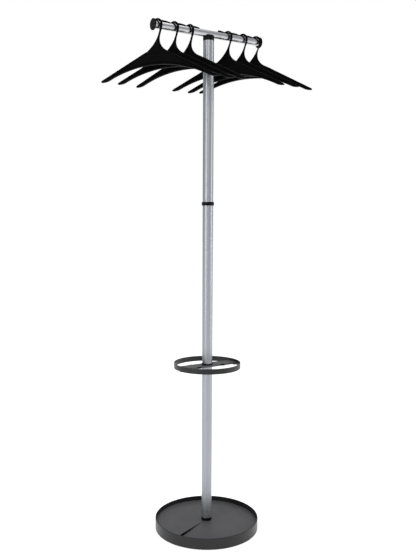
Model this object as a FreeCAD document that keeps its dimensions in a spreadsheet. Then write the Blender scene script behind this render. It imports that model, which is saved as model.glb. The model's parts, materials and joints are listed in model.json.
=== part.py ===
"""Standing coat rack: weighted round base, two-part post, umbrella ring and a bar with six hangers.

Frame: +Z up, origin at the middle of the base on the floor, the hanger bar along X. Millimetres.
Every sub-part is an object of the document, driven by the sheet named Dimensions.
"""
import FreeCAD, Part
import math
import os
import Sketcher
from FreeCAD import Placement, Rotation, Vector

doc = FreeCAD.newDocument("coat_rack")

# ---------------------------------------------------------------- driving dimensions
DIMENSIONS = {
    # round base, from the floor up
    "foot_height": 2.0, "foot_dia": 22.0, "foot_circle": 300.0, "screw_circle": 220.0,
    "base_dia": 360.0, "base_top": 41.0, "base_wall": 3.0, "cover_thick": 1.5,
    "deck_top": 16.0, "deck_thick": 2.0, "boss_dia": 38.0, "bolt_dia": 10.0, "bolt_gap": 0.3,
    "head_room": 8.0, "head_room_dia": 32.0,
    # spiral drip disc that lies in the base
    "disc_top": 29.0, "disc_thick": 2.0, "disc_drop": 10.0, "disc_gap": 0.8, "disc_flat": 40.0,
    "slit_turn": -158.6, "slit_angle": 1.0,
    # post
    "post_dia": 35.0, "post_wall": 1.5, "fit_gap": 0.07, "collar_dia": 36.0, "tube_foot": 39.0,
    "collar_plug": 17.0, "insert_low": 58.0, "insert_thick": 12.0,
    "ring_low": 1123.0, "ring_top": 1134.6, "ring_dia": 40.6, "spigot_wall": 2.0,
    "spigot_reach": 70.0, "screw_drop": 35.0, "post_top": 1643.4,
    # bar, the saddle that holds it, its end caps
    "bar_axis": 1664.8, "bar_dia": 22.0, "bar_wall": 1.5, "bar_half": 202.0,
    "saddle_dia": 36.0, "saddle_top": 1660.6, "saddle_plug": 40.0, "bar_bolt_dia": 6.0,
    "bar_head_dia": 10.0, "bar_head": 6.0, "nut_dia": 9.0, "cap_dia": 35.0, "cap_thick": 4.0,
    "cap_plug": 18.0,
    # toothed rails along the top of the bar
    "rail_inner": 36.0, "rail_thick": 2.6, "rail_wide": 4.4, "tooth_rise": 5.2, "tooth_arc": 110.0,
    "tooth_blunt": 1.5, "peg_dia": 4.0, "peg_long": 3.0,
    "hook_first": 74.0, "hook_pitch": 57.5, "notch_half": 12.0,
    # hangers, heights counted from the bar's axis
    "sit_1": -189.0, "sit_2": -130.0, "sit_3": -73.0, "sit_4": 73.5, "sit_5": 135.0,
    "sit_6": 189.0, "turn_1": -52.5, "turn_2": -52.0, "turn_3": -58.0, "turn_4": -52.5,
    "turn_5": -52.5, "turn_6": -45.0,
    "hanger_deep": 12.0, "web_thick": 4.0, "neck_half": 36.0, "neck_top": -77.5,
    "tip_x": 191.0, "tip_top": -155.0, "tip_low_x": 189.0, "tip_low": -160.8, "tip_arc": 3.6,
    "arch_x": 172.0, "arch_low": -158.8, "arch_radius": 371.0,
    "rib_top_x": 45.0, "rib_top": -89.3, "rib_arc": 103.4, "rib_end_x": 152.0,
    "rib_end": -142.8, "rib_low": -144.6, "rib_low_arc": 373.8,
    "hook_bore": 15.0, "hook_thick": 5.8, "hook_twist": -22.0,
    "hook_join": 32.0, "hook_end": 172.0, "rest_gap": 0.6,
    # umbrella holder
    "holder_dia": 227.0, "holder_wall": 2.5, "holder_top": 594.0, "holder_height": 17.7,
    "cross_top": 587.0, "cross_half": 22.5, "cross_sheet": 2.0, "cross_flange": 6.0,
    "cross_gap": 0.2, "tab_half": 10.0, "tab_height": 10.0,
    "hub_dia": 38.4, "hub_foot_dia": 40.6, "hub_top": 591.5, "hub_foot": 3.0, "slide_gap": 0.08,
    "prong_place": 47.0, "prong_half": 6.0, "prong_pad": 2.0, "prong_reach": 11.0,
    "prong_dia": 4.0, "prong_tip_dia": 2.6, "rivet_dia": 3.0, "rivet_head_dia": 6.0,
}

sheet = doc.addObject("Spreadsheet::Sheet", "Dimensions")
for row, (alias, number) in enumerate(DIMENSIONS.items(), start=1):
    sheet.set(f"A{row}", alias)
    sheet.set(f"B{row}", str(number))
    sheet.setAlias(f"B{row}", alias)
doc.recompute()

parts = []


# ---------------------------------------------------------------- the sheet and its expressions
def bound(expression):
    """An expression of aliases, with each alias pointed at the sheet."""
    out = ""
    word = ""
    for letter in expression + " ":
        if letter.isalnum() or letter == "_":
            word += letter
            continue
        out += f"Dimensions.{word}" if word in DIMENSIONS else word
        out += letter
        word = ""
    return out.strip()


def worth(expression):
    """The number that an expression of aliases stands for, worked out in a spare cell."""
    sheet.set("D1", "=" + expression)
    sheet.recompute()
    return float(sheet.get("D1"))


def tie(thing, prop, expression):
    """Bind a property of an object to the sheet."""
    thing.setExpression(prop, bound(expression))


# ---------------------------------------------------------------- sketches and features
def new_body(label):
    """A PartDesign body whose label names its file."""
    return doc.addObject("PartDesign::Body", label)


def origin_plane(body, role):
    """One of a body's own three planes."""
    return next(f for f in body.Origin.OriginFeatures if f.Role == role)


def new_sketch(body, role="XZ_Plane", offset=None):
    """An empty sketch on a body's own plane, moved out along the plane's normal by offset."""
    drawing = body.newObject("Sketcher::SketchObject", body.Name + "_sketch")
    drawing.AttachmentSupport = [(origin_plane(body, role), "")]
    drawing.MapMode = "FlatFace"
    if offset:
        tie(drawing, "AttachmentOffset.Base.z", offset)
    return drawing


def fix_point(drawing, edge, end, across, up):
    """Hold one end of a sketch edge at the place that two expressions give."""
    for kind, expression in (("DistanceX", across), ("DistanceY", up)):
        value = worth(expression)
        if abs(value) < 1e-9:
            axis = -2 if kind == "DistanceX" else -1
            drawing.addConstraint(Sketcher.Constraint("PointOnObject", edge, end, axis))
            continue
        number = drawing.addConstraint(Sketcher.Constraint(kind, -1, 1, edge, end, value))
        drawing.setExpression(f"Constraints[{number}]", bound(expression))


def arc_between(start, end, radius):
    """An arc from start to end, counterclockwise for a positive radius, else clockwise."""
    first, last = (start, end) if radius > 0 else (end, start)
    chord = last - first
    left = Vector(-chord.y, chord.x, 0).normalize()
    centre = (first + last) * 0.5 + left * math.sqrt(radius * radius - chord.Length ** 2 / 4)
    angles = [math.atan2(p.y - centre.y, p.x - centre.x) for p in (first, last)]
    if angles[1] < angles[0]:
        angles[1] += 2 * math.pi
    return Part.ArcOfCircle(Part.Circle(centre, Vector(0, 0, 1), abs(radius)), *angles)


def draw(drawing, corners, arcs=None):
    """A closed outline through corners. arcs gives the radius of the edge after a corner."""
    arcs = arcs or {}
    points = [Vector(worth(x), worth(y), 0) for x, y in corners]
    ends = []
    for i, start in enumerate(points):
        stop = points[(i + 1) % len(points)]
        if i in arcs:
            radius = worth(arcs[i])
            edge = drawing.addGeometry(arc_between(start, stop, radius), False)
            ends.append((edge, 1, 2) if radius > 0 else (edge, 2, 1))
        else:
            edge = drawing.addGeometry(Part.LineSegment(start, stop), False)
            ends.append((edge, 1, 2))
    for i, (edge, first, last) in enumerate(ends):
        after, after_first, _ = ends[(i + 1) % len(ends)]
        drawing.addConstraint(Sketcher.Constraint("Coincident", edge, last, after, after_first))
        fix_point(drawing, edge, first, *corners[i])
        if i in arcs:
            radius = abs(worth(arcs[i]))
            number = drawing.addConstraint(Sketcher.Constraint("Radius", edge, radius))
            drawing.setExpression(f"Constraints[{number}]", bound(f"abs({arcs[i]})"))
    return drawing


def draw_circle(drawing, radius, across="0", up="0"):
    """A circle whose radius and centre follow the sheet."""
    circle = Part.Circle(Vector(worth(across), worth(up), 0), Vector(0, 0, 1), worth(radius))
    edge = drawing.addGeometry(circle, False)
    fix_point(drawing, edge, 3, across, up)
    number = drawing.addConstraint(Sketcher.Constraint("Radius", edge, worth(radius)))
    drawing.setExpression(f"Constraints[{number}]", bound(radius))
    return drawing


def turned(body, profile):
    """Turn an outline of radius and height about the vertical axis."""
    drawing = draw(new_sketch(body), profile)
    feature = body.newObject("PartDesign::Revolution", body.Name + "_turned")
    feature.Profile = drawing
    feature.ReferenceAxis = (drawing, ["V_Axis"])
    feature.Angle = 360.0
    doc.recompute()
    return feature


def padded(body, drawing, length, middle=False):
    """Raise a sketch by a length, to both sides where middle is set."""
    feature = body.newObject("PartDesign::Pad", body.Name + "_pad")
    feature.Profile = drawing
    tie(feature, "Length", length)
    feature.Midplane = middle
    doc.recompute()
    return feature


def pocketed(body, drawing, length, upward=False, middle=False):
    """Cut a sketch's outline into the body and make sure that it took something away."""
    before = body.Shape.Volume
    feature = body.newObject("PartDesign::Pocket", body.Name + "_cut")
    feature.Profile = drawing
    tie(feature, "Length", length)
    feature.Midplane = middle
    feature.Reversed = upward
    doc.recompute()
    if body.Shape.Volume > before - 1e-3:
        raise RuntimeError(body.Name + ": a cut took nothing away")
    return feature


def repeated(body, feature, count):
    """Copy a feature evenly round the vertical axis."""
    pattern = body.newObject("PartDesign::PolarPattern", body.Name + "_pattern")
    pattern.Originals = [feature]
    pattern.Axis = (origin_plane(body, "Z_Axis"), [""])
    pattern.Angle = 360.0
    pattern.Occurrences = count
    body.Tip = pattern
    doc.recompute()


def rounded(body, radius, heights):
    """Fillet the body's level round edges at the given heights and radii."""
    wanted = [(worth(r), worth(z)) for r, z in heights]
    names = []
    for number, edge in enumerate(body.Shape.Edges, start=1):
        if not isinstance(edge.Curve, Part.Circle):
            continue
        for r, z in wanted:
            if abs(edge.Curve.Radius - r) < 1e-3 and abs(edge.Curve.Center.z - z) < 1e-3:
                names.append(f"Edge{number}")
    base = body.Tip
    feature = body.newObject("PartDesign::Fillet", body.Name + "_round")
    feature.Base = (base, names)
    feature.Radius = radius
    doc.recompute()


def keep(thing, label):
    """Note a finished sub-part under the name that its file takes."""
    thing.Label = label
    parts.append(thing)
    return thing


def cylinder(radius, height, base=("0", "0", "0"), axis=Vector(0, 0, 1)):
    """A plain cylinder from its base centre along an axis."""
    rod = doc.addObject("Part::Cylinder", "rod")
    tie(rod, "Radius", radius)
    tie(rod, "Height", height)
    place(rod, base, axis)
    return rod


def cone(radius, far_radius, height, base, axis=Vector(0, 0, 1)):
    """A cone frustum from its base centre along an axis."""
    frustum = doc.addObject("Part::Cone", "frustum")
    tie(frustum, "Radius1", radius)
    tie(frustum, "Radius2", far_radius)
    tie(frustum, "Height", height)
    place(frustum, base, axis)
    return frustum


def place(thing, base, axis):
    """Set an object's local Z along axis, and bind its base point to the sheet."""
    thing.Placement = Placement(Vector(0, 0, 0), Rotation(Vector(0, 0, 1), axis))
    for letter, expression in zip("xyz", base):
        tie(thing, f"Placement.Base.{letter}", expression)


def joined(pieces):
    """One solid from overlapping or touching pieces."""
    whole = doc.addObject("Part::MultiFuse", "joined")
    whole.Shapes = pieces
    return whole


def group(pieces, label):
    """Several separate solids in one sub-part."""
    bundle = doc.addObject("Part::Compound", label)
    bundle.Links = pieces
    return keep(bundle, label)


def on_circle(circle, angle):
    """The two expressions of a point on a circle of a given diameter, at an angle in degrees."""
    return f"{circle} / 2 * cos({angle})", f"{circle} / 2 * sin({angle})"


# ---------------------------------------------------------------- base
def make_base():
    """Spun shell with a deck, ballast under the deck, cover, feet and fasteners."""
    shell = new_body("base_shell")
    inside = "base_dia / 2 - base_wall"
    hole = "bolt_dia / 2 + bolt_gap"
    turned(shell, [
        ("base_dia / 2", "foot_height"), ("base_dia / 2", "base_top"),
        (inside, "base_top"), (inside, "deck_top"), ("boss_dia / 2", "deck_top"),
        ("boss_dia / 2", "disc_top - disc_thick"), (hole, "disc_top - disc_thick"),
        (hole, "deck_top - deck_thick"), (inside, "deck_top - deck_thick"),
        (inside, "foot_height")])
    rounded(shell, 1.2, [("base_dia / 2", "base_top"), (inside, "base_top"),
                         ("base_dia / 2", "foot_height")])
    keep(shell, "base_shell")

    cover_top = "foot_height + cover_thick"
    ballast = new_body("base_ballast")
    turned(ballast, [
        (hole, "deck_top - deck_thick"), ("base_dia / 2 - base_wall - 2.5", "deck_top - deck_thick"),
        ("base_dia / 2 - base_wall - 2.5", cover_top), ("head_room_dia / 2", cover_top),
        ("head_room_dia / 2", cover_top + " + head_room"), (hole, cover_top + " + head_room")])
    tapping = new_sketch(ballast, "XY_Plane", cover_top)
    draw_circle(tapping, "2.5", *on_circle("screw_circle", 30))
    tapped = pocketed(ballast, tapping, "9", upward=True)
    repeated(ballast, tapped, 3)
    keep(ballast, "base_ballast")

    cover = new_body("base_bottom_cover")
    turned(cover, [
        ("head_room_dia / 2 + 0.5", "foot_height"), (inside + " - 0.3", "foot_height"),
        (inside + " - 0.3", cover_top), ("head_room_dia / 2 + 0.5", cover_top)])
    drilling = new_sketch(cover, "XY_Plane", "foot_height - 1")
    draw_circle(drilling, "2.7", *on_circle("screw_circle", 30))
    drilled = pocketed(cover, drilling, "cover_thick + 2", upward=True)
    repeated(cover, drilled, 3)
    keep(cover, "base_bottom_cover")

    screws = []
    for angle in (30, 150, 270):
        x, y = on_circle("screw_circle", angle)
        head = cylinder("4.5", "1.3", (x, y, "foot_height - 1.3"))
        shank = cylinder("2.4", "9", (x, y, "foot_height"))
        screws.append(joined([head, shank]))
    group(screws, "base_cover_screws")

    feet = []
    for angle in range(0, 360, 60):
        x, y = on_circle("foot_circle", angle)
        feet.append(cone("foot_dia / 2 - 1", "foot_dia / 2", "foot_height", (x, y, "0")))
    group(feet, "rubber_feet")


def make_drip_disc():
    """A sheet disc slit along one radius, whose rim falls steadily from one lip to the other."""
    radius = worth("base_dia / 2 - base_wall - disc_gap")
    flat = worth("disc_flat / 2")
    hole = worth("bolt_dia / 2 + bolt_gap")
    top = worth("disc_top")
    thick = worth("disc_thick")
    drop = worth("disc_drop")
    slit = worth("slit_turn")
    gap = worth("slit_angle")
    sections = 25
    wires = []
    for i in range(sections):
        share = i / (sections - 1)
        angle = math.radians(slit + gap / 2 + share * (360 - gap))
        rim = top - drop * (1 - share)
        outline = [(hole, top), (flat, top), (radius, rim), (radius, rim - thick),
                   (flat, top - thick), (hole, top - thick)]
        corners = [Vector(r * math.cos(angle), r * math.sin(angle), z) for r, z in outline]
        wires.append(Part.makePolygon(corners + corners[:1]))
    disc = doc.addObject("Part::Feature", "drip_disc")
    disc.Shape = Part.makeLoft(wires, True, False)
    keep(disc, "drip_disc")


# ---------------------------------------------------------------- post
def make_foot_joint():
    """Bolt, washer, collar and threaded insert that hold the post on the base."""
    washer_low = "foot_height + cover_thick + head_room - 2"
    washer = new_body("post_bolt_washer")
    turned(washer, [
        ("bolt_dia / 2 + bolt_gap", washer_low), ("14", washer_low),
        ("14", washer_low + " + 2"), ("bolt_dia / 2 + bolt_gap", washer_low + " + 2")])
    keep(washer, "post_bolt_washer")

    head = doc.addObject("Part::Prism", "bolt_head")
    head.Polygon = 6
    tie(head, "Circumradius", "bolt_dia * 0.92")
    tie(head, "Height", "6")
    place(head, ("0", "0", washer_low + " - 6"), Vector(0, 0, 1))
    shank = cylinder("bolt_dia / 2", "insert_low + insert_thick + 4 - (" + washer_low + ")",
                     ("0", "0", washer_low))
    keep(joined([head, shank]), "post_bolt")

    collar = new_body("foot_collar")
    bore = "post_dia / 2 - post_wall - fit_gap"
    turned(collar, [
        ("bolt_dia / 2 + bolt_gap", "disc_top"), ("collar_dia / 2", "disc_top"),
        ("collar_dia / 2", "tube_foot"), (bore, "tube_foot"),
        (bore, "tube_foot + collar_plug"), ("bolt_dia / 2 + bolt_gap", "tube_foot + collar_plug")])
    rounded(collar, 0.4, [("collar_dia / 2", "tube_foot")])
    keep(collar, "foot_collar")

    insert = new_body("foot_insert")
    turned(insert, [
        ("bolt_dia / 2 + 0.02", "insert_low"), (bore, "insert_low"),
        (bore, "insert_low + insert_thick"), ("bolt_dia / 2 + 0.02", "insert_low + insert_thick")])
    keep(insert, "foot_insert")


def make_tube(label, low, high, hole_height=None):
    """One length of the post. A screw hole, where it has one, faces the back."""
    tube = new_body(label)
    drawing = new_sketch(tube, "XY_Plane", low)
    draw_circle(drawing, "post_dia / 2")
    draw_circle(drawing, "post_dia / 2 - post_wall")
    padded(tube, drawing, f"{high} - ({low})")
    if hole_height:
        hole = draw_circle(new_sketch(tube), "2", "0", hole_height)
        pocketed(tube, hole, "post_dia")
    return keep(tube, label)


def make_post():
    """Lower and upper tube, the spigot and ring between them, and the spigot's screw."""
    screw_height = "ring_low - screw_drop"
    back = Placement(Vector(0, 0, 0), Rotation(Vector(0, 0, 1), -34))
    lower = make_tube("lower_tube", "tube_foot", "ring_low", screw_height)
    lower.Placement = back
    make_tube("upper_tube", "ring_top", "post_top")

    spigot = new_body("joint_spigot")
    outer = "post_dia / 2 - post_wall - fit_gap"
    drawing = new_sketch(spigot, "XY_Plane", "ring_low - spigot_reach")
    draw_circle(drawing, outer)
    draw_circle(drawing, outer + " - spigot_wall")
    padded(spigot, drawing, "2 * spigot_reach + ring_top - ring_low")
    hole = draw_circle(new_sketch(spigot), "2", "0", screw_height)
    pocketed(spigot, hole, "post_dia")
    spigot.Placement = back
    keep(spigot, "joint_spigot")

    ring = new_body("joint_ring")
    bore = outer + " + fit_gap"
    turned(ring, [(bore, "ring_low"), ("ring_dia / 2", "ring_low"),
                  ("ring_dia / 2", "ring_top"), (bore, "ring_top")])
    rounded(ring, 1.0, [("ring_dia / 2", "ring_low"), ("ring_dia / 2", "ring_top")])
    keep(ring, "joint_ring")

    along = Vector(0, 1, 0)
    head = cone("3.6", "2.6", "1.2", ("0", "post_dia / 2", screw_height), along)
    shank = cylinder("1.9", "5", ("0", "post_dia / 2 - 5", screw_height), along)
    screw = joined([head, shank])
    screw.Placement = back
    keep(screw, "joint_screw")


# ---------------------------------------------------------------- bar
def make_saddle():
    """Plug in the post's top with a cradle for the bar, and the bolt that draws the bar down."""
    saddle = new_body("bar_saddle")
    plug = "post_dia / 2 - post_wall - fit_gap"
    bolt_hole = "bar_bolt_dia / 2 + 0.2"
    head_hole = "bar_head_dia / 2 + 1"
    turned(saddle, [
        (head_hole, "post_top - saddle_plug"), (plug, "post_top - saddle_plug"),
        (plug, "post_top"), ("saddle_dia / 2", "post_top"), ("saddle_dia / 2", "saddle_top"),
        (bolt_hole, "saddle_top"), (bolt_hole, "post_top - 2"), (head_hole, "post_top - 2")])
    rounded(saddle, 4.0, [("saddle_dia / 2", "saddle_top")])
    trough = draw_circle(new_sketch(saddle, "YZ_Plane"), "bar_dia / 2 + 0.05", "0", "bar_axis")
    pocketed(saddle, trough, "2 * saddle_dia", middle=True)
    keep(saddle, "bar_saddle")

    head = cylinder("bar_head_dia / 2", "bar_head", ("0", "0", "post_top - 2 - bar_head"))
    shank = cylinder("bar_bolt_dia / 2", "24", ("0", "0", "post_top - 2"))
    keep(joined([head, shank]), "bar_bolt")

    nut = new_body("bar_rivet_nut")
    nut_low = "bar_axis - bar_dia / 2 + 1.2"
    bore = "bar_bolt_dia / 2 + 0.05"
    turned(nut, [(bore, nut_low), ("nut_dia / 2", nut_low), ("nut_dia / 2", nut_low + " + 3.2"),
                 ("nut_dia / 2 + 2", nut_low + " + 3.2"), ("nut_dia / 2 + 2", nut_low + " + 5.2"),
                 (bore, nut_low + " + 5.2")])
    keep(nut, "bar_rivet_nut")


def tooth_starts(side):
    """The three teeth of a rail as (start, end) expressions, with start nearer to minus X."""
    spans = []
    for k in range(3):
        hook = f"hook_first + {k} * hook_pitch"
        near = "rail_inner" if k == 0 else f"{hook} - hook_pitch + notch_half"
        far = f"{hook} - notch_half"
        if side > 0:
            spans.append((near, far))
        else:
            spans.insert(0, (f"-({far})", f"-({near})"))
    return spans


def make_bar():
    """The bar's tube, drilled for the bolt below and for the rails' pegs above."""
    bar = new_body("bar_tube")
    drawing = new_sketch(bar, "YZ_Plane")
    draw_circle(drawing, "bar_dia / 2", "0", "bar_axis")
    draw_circle(drawing, "bar_dia / 2 - bar_wall", "0", "bar_axis")
    padded(bar, drawing, "2 * bar_half", middle=True)
    below = draw_circle(new_sketch(bar, "XY_Plane", "bar_axis"), "nut_dia / 2 + 0.1")
    pocketed(bar, below, "bar_dia")
    above = new_sketch(bar, "XY_Plane", "bar_axis")
    for side in (-1, 1):
        for start, end in tooth_starts(side):
            draw_circle(above, "peg_dia / 2 + 0.05", f"({start} + {end}) / 2")
    pocketed(bar, above, "bar_dia", upward=True)
    keep(bar, "bar_tube")

    for label, side in (("bar_end_cap_left", -1), ("bar_end_cap_right", 1)):
        cap = new_body(label)
        plug = "bar_dia / 2 - bar_wall - 0.05"
        turned(cap, [("0", "-cap_plug"), (plug, "-cap_plug"), (plug, "0"), ("cap_dia / 2", "0"),
                     ("cap_dia / 2", "cap_thick"), ("0", "cap_thick")])
        rounded(cap, 1.6, [("cap_dia / 2", "cap_thick")])
        rounded(cap, 0.6, [("cap_dia / 2", "0")])
        place(cap, (f"{side} * bar_half", "0", "bar_axis"), Vector(side, 0, 0))
        keep(cap, label)


def make_rail(label, side):
    """Strip on top of the bar with three ramped teeth and a peg under each tooth."""
    rail = new_body(label)
    flat = "bar_dia / 2 + rail_thick"
    crest = "bar_dia / 2 + tooth_rise"
    below = "bar_dia / 2 - 1"
    outer_end = "bar_half - 0.3"
    left, right = ("rail_inner", outer_end) if side > 0 else (f"-({outer_end})", "-rail_inner")
    corners = [(right, below), (left, below)]
    arcs = {}
    if side < 0:
        corners.append((left, flat))
    for start, end in tooth_starts(side):
        if (start, side) != ("rail_inner", 1):
            corners.append((start, flat))
        corners.append((f"{start} + tooth_blunt", crest))
        arcs[len(corners) - 1] = "-tooth_arc"
        corners.append((end, flat))
    if side > 0:
        corners.append((right, flat))
    padded(rail, draw(new_sketch(rail), corners, arcs), "rail_wide", middle=True)
    seat = draw_circle(new_sketch(rail, "YZ_Plane"), "bar_dia / 2 + 0.02")
    pocketed(rail, seat, "3 * bar_half", middle=True)
    pegs = new_sketch(rail, "XY_Plane", "bar_dia / 2 - peg_long")
    for start, end in tooth_starts(side):
        draw_circle(pegs, "peg_dia / 2", f"({start} + {end}) / 2")
    padded(rail, pegs, "peg_long + 1")
    place(rail, ("0", "0", "bar_axis"), Vector(0, 0, 1))
    keep(rail, label)


# ---------------------------------------------------------------- hangers
def hanger_plate(name):
    """Flat moulding of a hanger: sloping shoulders, arched lower edge, recessed on both faces."""
    plate = new_body(name)
    right = [("neck_half", "neck_top"), ("tip_x", "tip_top"), ("tip_low_x", "tip_low"),
             ("arch_x", "arch_low")]
    left = [(f"-({x})", z) for x, z in reversed(right)]
    arcs = {1: "-tip_arc", 3: "arch_radius", 5: "-tip_arc"}
    padded(plate, draw(new_sketch(plate), right + left, arcs), "hanger_deep", middle=True)
    recess = [("rib_top_x", "rib_top"), ("rib_end_x", "rib_end"), ("rib_end_x", "rib_low"),
              ("-rib_end_x", "rib_low"), ("-rib_end_x", "rib_end"), ("-rib_top_x", "rib_top")]
    recess_arcs = {2: "rib_low_arc", 5: "-rib_arc"}
    for face in ("hanger_deep / 2", "-web_thick / 2"):
        cut = draw(new_sketch(plate, "XZ_Plane", face), recess, recess_arcs)
        pocketed(plate, cut, "(hanger_deep - web_thick) / 2")
    return plate


OVAL_SIDES = 16


def oval(left, right, side, half_deep, squareness):
    """A closed many-sided outline from left to right, deep along side. Squareness 1 is an ellipse.

    Straight sides keep the squared corners from overshooting, as a fitted curve would.
    """
    centre = (left + right) * 0.5
    across = (right - left) * 0.5
    points = []
    for step in range(OVAL_SIDES):
        angle = 2 * math.pi * step / OVAL_SIDES
        c, s = math.cos(angle), math.sin(angle)
        wide = math.copysign(abs(c) ** squareness, c)
        deep = math.copysign(abs(s) ** squareness, s)
        points.append(centre + across * wide + side * (half_deep * deep))
    return Part.makePolygon(points + points[:1])


# Edges of the neck in the hanger's plane: where each starts in the plate and the two points
# that pull it up towards the hook.
NECK_LEFT = ((-39.0, -79.6), (-12.0, -62.0), (9.0, -25.0))
NECK_RIGHT = ((35.4, -77.9), (-1.0, -62.0), (4.0, -30.0))
NECK_SHARES = (0.0, 0.15, 0.32, 0.5, 0.68, 0.85, 1.0)
NECK_INSET = 0.05       # the foot stays this far inside both faces of the plate
NECK_END_SHRINK = 0.8   # the last section ends inside the ball at the start of the hook
BALL_PROUD = 0.12       # the balls stand this far proud of the round wire of the hook


def guide(start, first_pull, last_pull, end):
    """One edge of the neck, as a curve in the hanger's own plane."""
    curve = Part.BezierCurve()
    curve.setPoles([Vector(x, 0, z) for x, z in (start, first_pull, last_pull, end)])
    return curve


def ring_point(radius, angle):
    """A point of the hook's plane, at an angle in degrees round the middle of the hook."""
    lift = worth("bar_dia / 2 + rail_thick + rest_gap - hook_bore")
    turn = math.radians(angle)
    return radius * math.cos(turn), lift + radius * math.sin(turn)


def make_neck():
    """Neck that leans up from the plate and turns a little, ending inside the hook."""
    inner = worth("hook_bore")
    thick = worth("hook_thick")
    join = -worth("hook_join")
    left_edge = guide(*NECK_LEFT, ring_point(inner, join))
    right_edge = guide(*NECK_RIGHT, ring_point(inner + thick, join))
    sections = []
    for share in NECK_SHARES:
        half_deep = thick / 2 + (worth("hanger_deep") - thick) / 2 * (1 - share) ** 1.5
        squareness = 1 - 0.6 * (1 - share) ** 2
        shrink = NECK_END_SHRINK if share == NECK_SHARES[-1] else 1.0
        ends = [left_edge.value(share), right_edge.value(share)]
        centre = (ends[0] + ends[1]) * 0.5
        flat = Rotation(Vector(0, 0, 1), worth("hook_twist") * share ** 2)
        ends = [flat.multVec(centre + (end - centre) * shrink) for end in ends]
        side = flat.multVec(Vector(0, 1, 0))
        sections.append(oval(*ends, side, (half_deep - NECK_INSET) * shrink, squareness))
    neck = doc.addObject("Part::Feature", "hanger_neck")
    neck.Shape = Part.makeLoft(sections, True, False)
    return neck


def make_hook():
    """Round wire of the hook over the bar: part of a torus with a ball at each end."""
    twist = Rotation(Vector(0, 0, 1), worth("hook_twist"))
    upright = Rotation(Vector(1, 0, 0), 90)
    start = Rotation(Vector(0, 0, 1), -worth("hook_join"))
    wire = doc.addObject("Part::Torus", "hook_wire")
    tie(wire, "Radius1", "hook_bore + hook_thick / 2")
    tie(wire, "Radius2", "hook_thick / 2")
    tie(wire, "Angle3", "hook_join + hook_end")
    wire.Placement = Placement(Vector(0, 0, 0), twist.multiply(upright).multiply(start))
    tie(wire, "Placement.Base.z", "bar_dia / 2 + rail_thick + rest_gap - hook_bore")
    pieces = [wire]
    for angle in (-worth("hook_join"), worth("hook_end")):
        ball = doc.addObject("Part::Sphere", "hook_ball")
        ball.Radius = worth("hook_thick / 2") + BALL_PROUD
        x, z = ring_point(worth("hook_bore + hook_thick / 2"), angle)
        ball.Placement.Base = twist.multVec(Vector(x, 0, z))
        pieces.append(ball)
    return pieces


def make_hangers():
    """Six equal hangers, each turned to the bar as it hangs in its notch."""
    pieces = [hanger_plate("hanger_plate"), make_neck()] + make_hook()
    moulding = joined(pieces)
    doc.recompute()
    # A boolean can drop a piece without a word, so every piece has to be found in the result.
    whole = moulding.Shape
    if len(whole.Solids) != 1:
        raise RuntimeError(f"a hanger came out as {len(whole.Solids)} solids")
    for piece in pieces:
        missing = piece.Shape.cut(whole).Volume
        if missing > 0.01 * piece.Shape.Volume:
            raise RuntimeError(f"{piece.Label} is missing from the hanger")
    for number in range(1, 7):
        hanger = doc.addObject("Part::Compound", f"hanger_{number}")
        hanger.Links = [moulding]
        hanger.Placement = Placement(Vector(0, 0, 0), Rotation(worth(f"turn_{number}"), 0, 0))
        tie(hanger, "Placement.Base.x", f"sit_{number}")
        tie(hanger, "Placement.Base.z", "bar_axis")
        keep(hanger, f"hanger_{number}")


# ---------------------------------------------------------------- umbrella holder
def make_umbrella_ring():
    """Flat band with a rivet hole at each end of the cross piece."""
    ring = new_body("umbrella_ring")
    drawing = new_sketch(ring, "XY_Plane", "holder_top - holder_height")
    draw_circle(drawing, "holder_dia / 2")
    draw_circle(drawing, "holder_dia / 2 - holder_wall")
    padded(ring, drawing, "holder_height")
    holes = new_sketch(ring, "YZ_Plane")
    for y in ("-tab_half / 2", "tab_half / 2"):
        draw_circle(holes, "rivet_dia / 2 + 0.1", y, "cross_top - tab_height")
    pocketed(ring, holes, "2 * holder_dia", middle=True)
    keep(ring, "umbrella_ring")


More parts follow.
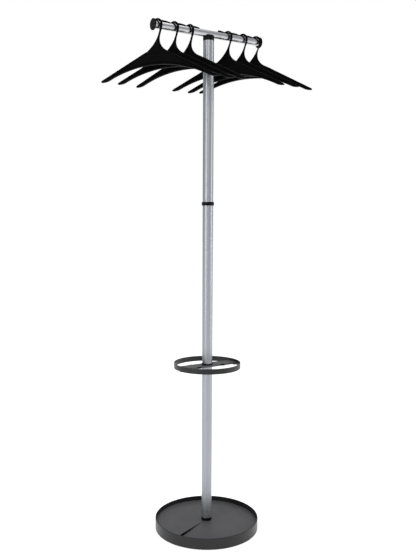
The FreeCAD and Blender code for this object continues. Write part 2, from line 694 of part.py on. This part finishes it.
def make_cross_piece():
    """Channel across the ring: flat web, folded edges and end tabs that follow the band."""
    cross = new_body("umbrella_cross_piece")
    reach = "holder_dia / 2 - holder_wall - cross_gap"

    def chord(radius, half):
        return f"sqrt(({radius})^2 - ({half})^2)"

    web_end = chord(reach, "cross_half")
    web = [(web_end, "-cross_half"), (web_end, "cross_half"),
           (f"-{web_end}", "cross_half"), (f"-{web_end}", "-cross_half")]
    drawing = draw(new_sketch(cross, "XY_Plane", "cross_top - cross_sheet"), web,
                   {0: reach, 2: reach})
    padded(cross, drawing, "cross_sheet")
    inner = "cross_half - cross_sheet"
    for sign in ("", "-"):
        edge = [(web_end, f"{sign}({inner})"), (web_end, f"{sign}cross_half"),
                (f"-{web_end}", f"{sign}cross_half"), (f"-{web_end}", f"{sign}({inner})")]
        fold = draw(new_sketch(cross, "XY_Plane", "cross_top - cross_flange"), edge)
        padded(cross, fold, "cross_flange - cross_sheet / 2")
    tab_out = chord(reach, "tab_half")
    tab_reach = reach + " - cross_sheet"
    tab_in = chord(tab_reach, "tab_half")
    for sign in ("", "-"):
        bow = 1 if sign == "" else -1
        tab = [(sign + tab_out, "-tab_half"), (sign + tab_out, "tab_half"),
               (sign + tab_in, "tab_half"), (sign + tab_in, "-tab_half")]
        arcs = {0: f"{bow} * ({reach})", 2: f"{-bow} * ({tab_reach})"}
        drop = draw(new_sketch(cross, "XY_Plane", "cross_top - tab_height - 3"), tab, arcs)
        padded(cross, drop, "tab_height + 3 - cross_sheet / 2")
    hub_hole = draw_circle(new_sketch(cross, "XY_Plane", "cross_top + 1"), "hub_dia / 2 + 0.05")
    pocketed(cross, hub_hole, "cross_flange + 2")
    holes = new_sketch(cross, "YZ_Plane")
    for y in ("-tab_half / 2", "tab_half / 2"):
        draw_circle(holes, "rivet_dia / 2 + 0.1", y, "cross_top - tab_height")
    pocketed(cross, holes, "2 * holder_dia", middle=True)
    keep(cross, "umbrella_cross_piece")


def make_hub():
    """Bush on the post that carries the cross piece, and the screw that clamps it."""
    hub = new_body("umbrella_hub")
    bore = "post_dia / 2 + slide_gap"
    web_low = "cross_top - cross_sheet"
    turned(hub, [(bore, web_low + " - hub_foot"), ("hub_foot_dia / 2", web_low + " - hub_foot"),
                 ("hub_foot_dia / 2", web_low), ("hub_dia / 2", web_low),
                 ("hub_dia / 2", "hub_top"), (bore, "hub_top")])
    rounded(hub, 0.6, [("hub_dia / 2", "hub_top")])
    screw_height = "(cross_top + hub_top) / 2"
    hole = draw_circle(new_sketch(hub), "1.55", "0", screw_height)
    pocketed(hub, hole, "post_dia")
    keep(hub, "umbrella_hub")

    along = Vector(0, 1, 0)
    head = cylinder("2", "3", ("0", "hub_dia / 2 + 0.05", screw_height), along)
    shank = cylinder("1.5", "2", ("0", "post_dia / 2 + 0.35", screw_height), along)
    keep(joined([head, shank]), "umbrella_hub_screw")


def make_rivets():
    """Four rivets that hold the band to the cross piece's tabs."""
    rivets = []
    for side in (-1, 1):
        axis = Vector(side, 0, 0)
        for y in ("-tab_half / 2", "tab_half / 2"):
            height = "cross_top - tab_height"
            band = "holder_dia / 2"
            shank = cylinder("rivet_dia / 2", "holder_wall + cross_sheet + 0.8",
                             (f"{side} * ({band} - holder_wall - cross_sheet - 0.8)", y, height), axis)
            head = cone("rivet_head_dia / 2", "rivet_head_dia / 3", "1.2",
                        (f"{side} * ({band} + 0.02)", y, height), axis)
            rivets.append(joined([shank, head]))
    group(rivets, "umbrella_rivets")


def make_prongs():
    """Four forked fingers on the cross piece's long edges, which keep umbrellas apart."""
    forks = []
    height = "cross_top - cross_flange / 2"
    for side in (-1, 1):
        for along in ("-prong_place", "prong_place"):
            edge = "cross_half" if side > 0 else "-cross_half - prong_pad"
            pad = doc.addObject("Part::Box", "prong_pad")
            tie(pad, "Length", "2 * prong_half")
            tie(pad, "Width", "prong_pad")
            tie(pad, "Height", "cross_flange - 1")
            place(pad, (along + " - prong_half", edge, height + " - cross_flange / 2 + 0.5"),
                  Vector(0, 0, 1))
            teeth = []
            for shift in ("-0.6 * prong_half", "0.6 * prong_half"):
                teeth.append(cone("prong_dia / 2", "prong_tip_dia / 2", "prong_reach",
                                  (f"{along} + {shift}", f"{side} * (cross_half + prong_pad / 2)",
                                   height), Vector(0, side, 0)))
            forks.append(joined([pad] + teeth))
    group(forks, "umbrella_prongs")


# ---------------------------------------------------------------- build, check and write
make_base()
make_drip_disc()
make_foot_joint()
make_post()
make_saddle()
make_bar()
make_rail("hanger_rail_left", -1)
make_rail("hanger_rail_right", 1)
make_hangers()
make_umbrella_ring()
make_cross_piece()
make_hub()
make_rivets()
make_prongs()
doc.recompute()

for thing in doc.Objects:
    if "Invalid" in thing.State or "Error" in thing.State:
        raise RuntimeError(f"{thing.Name} ({thing.Label}) is {thing.State}")
# A surface that crosses itself still counts as valid, but its solid then holds all of space.
far_away = [Vector(5000, 0, 0), Vector(0, 5000, 0), Vector(0, 0, 5000)]
for thing in parts:
    if thing.Shape.isNull() or not thing.Shape.isValid():
        raise RuntimeError(f"{thing.Label} has no valid shape")
    for solid in thing.Shape.Solids:
        if solid.Volume <= 0 or any(solid.isInside(spot, 1e-3, True) for spot in far_away):
            raise RuntimeError(f"{thing.Label} has a solid that is inside out")

os.makedirs("parts", exist_ok=True)
for thing in parts:
    thing.Shape.exportStep(f"parts/{thing.Label}.step")
print(len(parts), "sub-parts written")
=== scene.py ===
"""Looks of the standing coat rack: finishes on the CAD parts, six moulded hangers, studio."""
import json
import math
import bmesh
import bpy
from mathutils import Matrix, Vector

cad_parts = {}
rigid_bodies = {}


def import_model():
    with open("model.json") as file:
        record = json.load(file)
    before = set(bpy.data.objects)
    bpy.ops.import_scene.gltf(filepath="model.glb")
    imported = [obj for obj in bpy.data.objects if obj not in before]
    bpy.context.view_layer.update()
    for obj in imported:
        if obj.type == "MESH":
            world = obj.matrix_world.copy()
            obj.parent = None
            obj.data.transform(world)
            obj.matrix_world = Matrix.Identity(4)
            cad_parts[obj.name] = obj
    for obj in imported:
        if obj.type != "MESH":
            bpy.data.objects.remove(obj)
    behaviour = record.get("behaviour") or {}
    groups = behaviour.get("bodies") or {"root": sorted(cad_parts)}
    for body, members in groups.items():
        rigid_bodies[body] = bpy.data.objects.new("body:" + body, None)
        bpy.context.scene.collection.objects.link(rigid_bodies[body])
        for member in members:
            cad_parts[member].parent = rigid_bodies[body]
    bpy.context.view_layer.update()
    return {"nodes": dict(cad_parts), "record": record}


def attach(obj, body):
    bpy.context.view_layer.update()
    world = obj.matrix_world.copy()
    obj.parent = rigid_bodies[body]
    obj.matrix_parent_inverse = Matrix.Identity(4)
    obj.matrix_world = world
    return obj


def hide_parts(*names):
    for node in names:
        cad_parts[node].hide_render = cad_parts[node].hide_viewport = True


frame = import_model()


# ---------------------------------------------------------------- camera
def make_camera():
    """Eye level camera, looking slightly down, with the small roll of a hand-levelled tripod."""
    data = bpy.data.cameras.new("camera")
    data.lens = 45.17
    data.sensor_width = 36.0
    data.shift_x = 0.0094
    data.shift_y = 0.0748
    data.clip_end = 80.0
    camera = bpy.data.objects.new("camera", data)
    turn = Matrix.Rotation(math.radians(-33.6), 4, "Z")
    pitch = Matrix.Rotation(math.radians(81.7), 4, "X")
    roll = Matrix.Rotation(math.radians(0.2), 4, "Z")
    camera.matrix_world = Matrix.Translation((-1.3057, -1.9371, 1.0841)) @ turn @ pitch @ roll
    bpy.context.scene.collection.objects.link(camera)
    bpy.context.scene.camera = camera


# ---------------------------------------------------------------- materials
def new_material(name):
    material = bpy.data.materials.new(name)
    material.use_nodes = True
    tree = material.node_tree
    shader = tree.nodes["Principled BSDF"]
    return material, tree, shader


def position(tree, scale=(1, 1, 1)):
    """Object coordinates in metres, stretched by scale."""
    source = tree.nodes.new("ShaderNodeTexCoord")
    mapping = tree.nodes.new("ShaderNodeMapping")
    mapping.inputs["Scale"].default_value = scale
    tree.links.new(source.outputs["Object"], mapping.inputs["Vector"])
    return mapping.outputs["Vector"]


def noise(tree, scale, detail=3.0, stretch=(1, 1, 1), rough=0.5):
    node = tree.nodes.new("ShaderNodeTexNoise")
    node.inputs["Scale"].default_value = scale
    node.inputs["Detail"].default_value = detail
    node.inputs["Roughness"].default_value = rough
    tree.links.new(position(tree, stretch), node.inputs["Vector"])
    return node.outputs["Fac"]


def spread(tree, value, low, high, start=0.3, end=0.7):
    """Map a noise value onto the range low to high."""
    node = tree.nodes.new("ShaderNodeMapRange")
    node.inputs["From Min"].default_value = start
    node.inputs["From Max"].default_value = end
    node.inputs["To Min"].default_value = low
    node.inputs["To Max"].default_value = high
    tree.links.new(value, node.inputs["Value"])
    return node.outputs["Result"]


def shades(tree, value, dark, light):
    """Blend two colours by a value."""
    node = tree.nodes.new("ShaderNodeMix")
    node.data_type = "RGBA"
    node.inputs["A"].default_value = (*dark, 1)
    node.inputs["B"].default_value = (*light, 1)
    tree.links.new(value, node.inputs["Factor"])
    return node.outputs["Result"]


def bump(tree, shader, value, distance, strength=1.0):
    node = tree.nodes.new("ShaderNodeBump")
    node.inputs["Distance"].default_value = distance
    node.inputs["Strength"].default_value = strength
    tree.links.new(value, node.inputs["Height"])
    if shader.inputs["Normal"].is_linked:
        tree.links.new(shader.inputs["Normal"].links[0].from_socket, node.inputs["Normal"])
    tree.links.new(node.outputs["Normal"], shader.inputs["Normal"])


def surface(name, dark, light, rough, metallic=0.0, grain=400.0, grain_depth=0.0,
            cloud=6.0, stretch=(1, 1, 1), specular=0.5, coat=0.0, coat_rough=0.1):
    """A finish: colour and roughness drift over it, and a fine grain stands on it."""
    material, tree, shader = new_material(name)
    drift = noise(tree, cloud, 4.0, stretch)
    tree.links.new(shades(tree, spread(tree, drift, 0.0, 1.0), dark, light),
                   shader.inputs["Base Color"])
    tree.links.new(spread(tree, noise(tree, cloud * 3.1, 5.0, stretch), *rough),
                   shader.inputs["Roughness"])
    shader.inputs["Metallic"].default_value = metallic
    shader.inputs["Specular IOR Level"].default_value = specular
    shader.inputs["Coat Weight"].default_value = coat
    shader.inputs["Coat Roughness"].default_value = coat_rough
    if grain_depth:
        bump(tree, shader, noise(tree, grain, 2.0, stretch), grain_depth)
    return material


def make_materials():
    """Every finish of the stand, by the record's slot."""
    return {
        "base_lacquer": surface("base_lacquer", (0.008, 0.008, 0.0087), (0.012, 0.012, 0.0127),
                                (0.34, 0.42), grain=1400, grain_depth=0.00001, cloud=9,
                                specular=0.3, coat=0.08, coat_rough=0.3),
        "ballast_iron": surface("ballast_iron", (0.09, 0.085, 0.08), (0.16, 0.15, 0.14),
                                (0.6, 0.8), 0.7, 500, 0.0003),
        "cover_steel": surface("cover_steel", (0.02, 0.02, 0.021), (0.035, 0.035, 0.036),
                               (0.4, 0.5), 0.0, 900, 0.00005),
        "screw_steel": surface("screw_steel", (0.42, 0.42, 0.43), (0.58, 0.58, 0.57),
                               (0.25, 0.4), 1.0, 1500, 0.00003, 60),
        "foot_rubber": surface("foot_rubber", (0.02, 0.02, 0.02), (0.035, 0.035, 0.034),
                               (0.75, 0.9), 0.0, 800, 0.0001),
        "black_plastic": surface("black_plastic", (0.003, 0.003, 0.0034), (0.006, 0.006, 0.0064),
                                 (0.34, 0.42), 0.0, 900, 0.000006, 40, specular=0.07),
        "post_aluminium": surface("post_aluminium", (0.335, 0.345, 0.365), (0.365, 0.375, 0.395),
                                  (0.36, 0.40), 0.88, 90, 0.000002, 18, (1, 1, 0.2)),
        "inner_steel": surface("inner_steel", (0.35, 0.35, 0.36), (0.48, 0.48, 0.48),
                               (0.3, 0.4), 1.0, 900, 0.00004),
        "bar_chrome": surface("bar_chrome", (0.47, 0.475, 0.49), (0.52, 0.525, 0.54),
                              (0.20, 0.25), 1.0, 90, 0.000002, 30),
        "rail_plastic": surface("rail_plastic", (0.004, 0.004, 0.0043), (0.007, 0.007, 0.0073),
                                (0.4, 0.5), 0.0, 900, 0.00001, 60, specular=0.06),
        "hanger_plastic": surface("hanger_plastic", (0.0012, 0.0011, 0.0013),
                                  (0.0020, 0.0019, 0.0022), (0.38, 0.46), 0.0, 900, 0.00001, 12,
                                  specular=0.025),
        "holder_lacquer": surface("holder_lacquer", (0.006, 0.006, 0.0064), (0.010, 0.010, 0.0104),
                                  (0.34, 0.42), 0.0, 900, 0.00001, 30, specular=0.35),
        "holder_steel": surface("holder_steel", (0.05, 0.05, 0.052), (0.065, 0.065, 0.068),
                                (0.34, 0.42), 0.2, 900, 0.00001, 30),
    }


def finish_nodes(materials):
    """Give each CAD node the finish of its slot; the sheet in the tray is the same black satin,
    given a lighter colour as a painted reflection of the white surround.
    """
    # Painted reflection: the tray sheet's colour is several times lighter than the base lacquer,
    # standing in for the white surround reflected in its black satin.
    tray = surface("tray_painted_reflection", (0.066, 0.065, 0.069), (0.082, 0.081, 0.085), (0.36, 0.44),
                   grain=500, grain_depth=0.00001, cloud=7, specular=0.4)
    for entry in frame["record"]["subparts"]:
        node = frame["nodes"].get(entry["node"])
        if node is None:
            continue
        for holder in [node] + list(node.children_recursive):
            if holder.type != "MESH":
                continue
            for slot in holder.material_slots:
                own = materials[entry["material_slot"]]
                slot.material = tray if entry["node"] == "drip_disc" else own


# ---------------------------------------------------------------- hangers
MM = 0.001
PLATE_TOP, SHOULDER, SLOPE = -77.5, 36.0, 0.5      # level of the neck's foot, its half width, fall
ARCH_TOP, ARCH_RADIUS, ARCH_END = -116.5, 371.0, 172.0
TIP, TIP_TOP, TIP_LOW = 191.8, -155.6, -160.6
RIB, LIP, WEB_EDGE = 6.2, 4.2, 152.0
HALF_DEEP, HALF_WEB, ROUND = 6.0, 2.0, 1.4
HOOK_INNER, HOOK_THICK, HOOK_DEEP = 15.0, 5.8, 8.6
HOOK_JOIN, HOOK_STOP, HOOK_TWIST = math.radians(-32), math.radians(172), math.radians(-22)
HANGERS = ((-189.0, -52.5), (-130.0, -52.0), (-73.0, -58.0),
           (73.5, -52.5), (135.0, -52.5), (189.0, -45.0))
BAR_AXIS = 1664.8
BAR_RADIUS, RAIL_THICK, REST_GAP = 11.0, 2.6, 0.6
# Where each edge of the neck starts on the plate, and the two points that pull it upwards.
NECK_LEFT = [(-39, 0, -79.6), (-12, 0, -62), (9, 0, -25)]
NECK_RIGHT = [(35.4, 0, -77.9), (-1, 0, -62), (4, 0, -30)]
NECK_SHARES = (0.04, 0.1, 0.18, 0.27, 0.37, 0.48, 0.6, 0.72, 0.84, 0.94)
HOOK_STEPS = 16
HOOK_TIP = ((0.06, 0.9), (0.11, 0.66), (0.135, 0.3))       # turn past the end, size left


def mix(a, b, share):
    return a + (b - a) * share


def bezier(points, share):
    """Point on a cubic curve."""
    a, b, c, d = [Vector(p) for p in points]
    left = 1 - share
    return a * left**3 + b * 3 * left**2 * share + c * 3 * left * share**2 + d * share**3


def arm_levels(u):
    """Upper and lower edge of the moulding, and of its recess, at a distance u from the middle."""
    reach = abs(u)
    top = PLATE_TOP - SLOPE * max(0.0, reach - SHOULDER)
    low = ARCH_TOP - (ARCH_RADIUS - math.sqrt(ARCH_RADIUS**2 - min(reach, ARCH_END)**2))
    if reach > ARCH_END:
        low = mix(low, TIP_LOW, (reach - ARCH_END) / (TIP - ARCH_END))
    if reach > 189:
        share = (reach - 189) / (TIP - 189)
        top = mix(PLATE_TOP - SLOPE * (189 - SHOULDER), TIP_TOP - 0.8, share)
        low = mix(low, TIP_LOW + 1.2, share)
    web_top = min(top - RIB * 1.118, -79.0 - (103.4 - math.sqrt(max(0, 103.4**2 - reach**2))))
    if reach > 45:
        web_top = top - RIB * 1.118 - 0.4
    web_low = low + LIP
    if reach > WEB_EDGE:
        web_low = mix(low, top, 0.42)
        web_top = mix(low, top, 0.52)
    return top, low, web_top, web_low


def arm_ring(u):
    """Closed section of the moulding across its length: front from low to high, then the back."""
    top, low, web_top, web_low = arm_levels(u)
    deep = HALF_DEEP if abs(u) < 189 else HALF_DEEP - 1.4 * (abs(u) - 189) / (TIP - 189)
    floor = HALF_WEB if abs(u) < WEB_EDGE else deep
    span = top - low
    edge = min(ROUND, span * 0.22)
    rows = [(low, deep - ROUND), (low + edge, deep), (web_low - 0.6, deep), (web_low + 0.3, floor),
            (mix(web_low, web_top, 0.33), floor), (mix(web_low, web_top, 0.67), floor),
            (web_top - 0.3, floor), (web_top + 0.6, deep), (top - edge, deep),
            (top, deep - ROUND)]
    front = [Vector((u, -d, z)) for z, d in rows]
    back = [Vector((u, d, z)) for z, d in reversed(rows)]
    return front + back


def hook_path():
    """The two edges, depth and shape of every neck and hook section, from foot to tip."""
    lift = BAR_RADIUS + RAIL_THICK + REST_GAP - HOOK_INNER

    def on_ring(radius, angle):
        return (radius * math.cos(angle), 0, lift + radius * math.sin(angle))

    outer = HOOK_INNER + HOOK_THICK
    left = NECK_LEFT + [on_ring(HOOK_INNER, HOOK_JOIN)]
    right = NECK_RIGHT + [on_ring(outer, HOOK_JOIN)]
    path = []
    for share in NECK_SHARES:
        deep = HOOK_DEEP / 2 + (HALF_DEEP - HOOK_DEEP / 2) * (1 - share)**1.5
        path.append((bezier(left, share), bezier(right, share), deep,
                     min(1.0, share * 2.4), HOOK_TWIST * share**2))
    for step in range(HOOK_STEPS + 1):
        angle = mix(HOOK_JOIN, HOOK_STOP, step / HOOK_STEPS)
        path.append((Vector(on_ring(HOOK_INNER, angle)), Vector(on_ring(outer, angle)),
                     HOOK_DEEP / 2, 1.0, HOOK_TWIST))
    middle = HOOK_INNER + HOOK_THICK / 2
    for past, shrink in HOOK_TIP:
        ends = [Vector(on_ring(middle + way * HOOK_THICK / 2 * shrink, HOOK_STOP + past))
                for way in (-1, 1)]
        path.append((*ends, HOOK_DEEP / 2 * shrink, 1.0, HOOK_TWIST))
    return path


def hook_ring(left, right, deep, roundness, twist, count):
    """A section of count points in front, left to right, and as many behind, right to left."""
    turn = Matrix.Rotation(twist, 3, "Z")
    front, back = [], []
    for i in range(count):
        angle = math.pi * (i + 0.5) / count
        share = mix(i / (count - 1), (1 - math.cos(angle)) / 2, roundness)
        depth = deep * mix(1.0 - ROUND / HALF_DEEP, math.sin(angle), roundness)
        point = left + (right - left) * share
        front.append(turn @ (point + Vector((0, -depth, 0))))
        back.append(turn @ (point + Vector((0, depth, 0))))
    return front + back[::-1]


def hanger_mesh():
    """One moulding: arms with a raised rim round a thin web, leaning neck and hook."""
    half = [9, 18, 27, 36, 44, 53, 64, 76, 88, 100, 112, 124, 136, 146, 151, 153, 160, 168,
            176, 183, 188, 190.4, 191.8]
    columns = [-u for u in reversed(half)] + [0] + half
    shape = bmesh.new()
    rings = [[shape.verts.new(p * MM) for p in arm_ring(u)] for u in columns]
    rows = len(rings[0])
    top_front = rows // 2 - 1
    neck = [i for i, u in enumerate(columns) if abs(u) <= SHOULDER]
    for i in range(len(rings) - 1):
        for j in range(rows):
            if j == top_front and i in neck and i + 1 in neck:
                continue
            k = (j + 1) % rows
            shape.faces.new((rings[i][j], rings[i + 1][j], rings[i + 1][k], rings[i][k]))
    for ring, order in ((rings[0], 1), (rings[-1], -1)):
        for j in range(rows // 2 - 1):
            face = (ring[j], ring[j + 1], ring[rows - 2 - j], ring[rows - 1 - j])
            shape.faces.new(face[::order])
    count = len(neck)
    below = [rings[i][top_front] for i in neck] + [rings[i][top_front + 1] for i in reversed(neck)]
    for left, right, deep, roundness, twist in hook_path():
        ring = [shape.verts.new(p * MM)
                for p in hook_ring(left, right, deep, roundness, twist, count)]
        for j in range(2 * count):
            k = (j + 1) % (2 * count)
            shape.faces.new((below[j], below[k], ring[k], ring[j]))
        below = ring
    shape.faces.new(below)
    bmesh.ops.recalc_face_normals(shape, faces=shape.faces)
    mesh = bpy.data.meshes.new("hanger")
    shape.to_mesh(mesh)
    shape.free()
    for face in mesh.polygons:
        face.use_smooth = True
    return mesh


def make_hangers(material):
    """Six equal hangers, each turned to the bar; each rides on its own swinging body."""
    moulding = hanger_mesh()
    moulding.materials.append(material)
    for number, (along, turn) in enumerate(HANGERS, start=1):
        mesh = moulding.copy()
        mesh.transform(Matrix.Translation((along * MM, 0, BAR_AXIS * MM))
                       @ Matrix.Rotation(math.radians(turn), 4, "Z"))
        hanger = bpy.data.objects.new(f"moulded_hanger_{number}", mesh)
        bpy.context.scene.collection.objects.link(hanger)
        smooth = hanger.modifiers.new("smooth", "SUBSURF")
        smooth.levels = 2
        smooth.render_levels = 2
        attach(hanger, f"hanger_{number}")
        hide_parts(f"hanger_{number}")
    bpy.data.meshes.remove(moulding)


# ---------------------------------------------------------------- studio
def area_light(name, azimuth, distance, height, wide, tall, power):
    """A soft box standing at an azimuth in degrees, facing the stand."""
    data = bpy.data.lights.new(name, "AREA")
    data.energy = power
    data.shape = "RECTANGLE"
    data.size = wide
    data.size_y = tall
    lamp = bpy.data.objects.new(name, data)
    angle = math.radians(azimuth)
    lamp.location = (distance * math.cos(angle), distance * math.sin(angle), height)
    facing = Vector((0, 0, height)) - lamp.location
    lamp.rotation_euler = facing.to_track_quat("-Z", "Y").to_euler()
    lamp.visible_camera = False
    bpy.context.scene.collection.objects.link(lamp)


def make_studio():
    """White floor, a white surround that only the camera sees, and soft boxes."""
    reach = 30.0
    floor_mesh = bpy.data.meshes.new("floor")
    floor_mesh.from_pydata([(-reach, -reach, 0), (reach, -reach, 0),
                            (reach, reach, 0), (-reach, reach, 0)], [], [(0, 1, 2, 3)])
    floor = bpy.data.objects.new("floor", floor_mesh)
    bpy.context.scene.collection.objects.link(floor)
    material, _, shader = new_material("floor_white")
    shader.inputs["Base Color"].default_value = (0.80, 0.80, 0.80, 1)
    shader.inputs["Roughness"].default_value = 0.8
    shader.inputs["Specular IOR Level"].default_value = 0.0
    shader.inputs["Emission Color"].default_value = (1, 1, 1, 1)
    shader.inputs["Emission Strength"].default_value = 0.64
    floor_mesh.materials.append(material)

    bowl = bmesh.new()
    bmesh.ops.create_uvsphere(bowl, u_segments=48, v_segments=24, radius=28.0)
    dome_mesh = bpy.data.meshes.new("surround")
    bowl.to_mesh(dome_mesh)
    bowl.free()
    dome = bpy.data.objects.new("surround", dome_mesh)
    bpy.context.scene.collection.objects.link(dome)
    white, _, shader = new_material("surround_white")
    shader.inputs["Base Color"].default_value = (0, 0, 0, 1)
    shader.inputs["Specular IOR Level"].default_value = 0.0
    shader.inputs["Emission Color"].default_value = (1, 1, 1, 1)
    shader.inputs["Emission Strength"].default_value = 1.0
    dome_mesh.materials.append(white)
    dome.visible_diffuse = False
    dome.visible_glossy = False
    dome.visible_transmission = False
    dome.visible_volume_scatter = False
    dome.visible_shadow = False

    world = bpy.data.worlds.new("studio")
    bpy.context.scene.world = world
    world.use_nodes = True
    background = world.node_tree.nodes["Background"]
    background.inputs["Color"].default_value = (0.97, 0.98, 1.0, 1)
    background.inputs["Strength"].default_value = 0.5
    area_light("box_left", -166, 3.2, 1.5, 0.8, 2.4, 24)
    area_light("box_right", -36, 3.2, 1.5, 0.7, 2.4, 22)
    area_light("box_front", -120, 3.6, 2.7, 0.5, 1.0, 16)
    overhead = bpy.data.lights.new("overhead", "AREA")
    overhead.energy = 80
    overhead.size = 4.0
    lamp = bpy.data.objects.new("overhead", overhead)
    lamp.location = (0, 0, 5.0)
    lamp.visible_camera = False
    bpy.context.scene.collection.objects.link(lamp)
    bpy.context.scene.view_settings.view_transform = "Standard"


make_camera()
MATERIALS = make_materials()
finish_nodes(MATERIALS)
make_hangers(MATERIALS["hanger_plastic"])
make_studio()
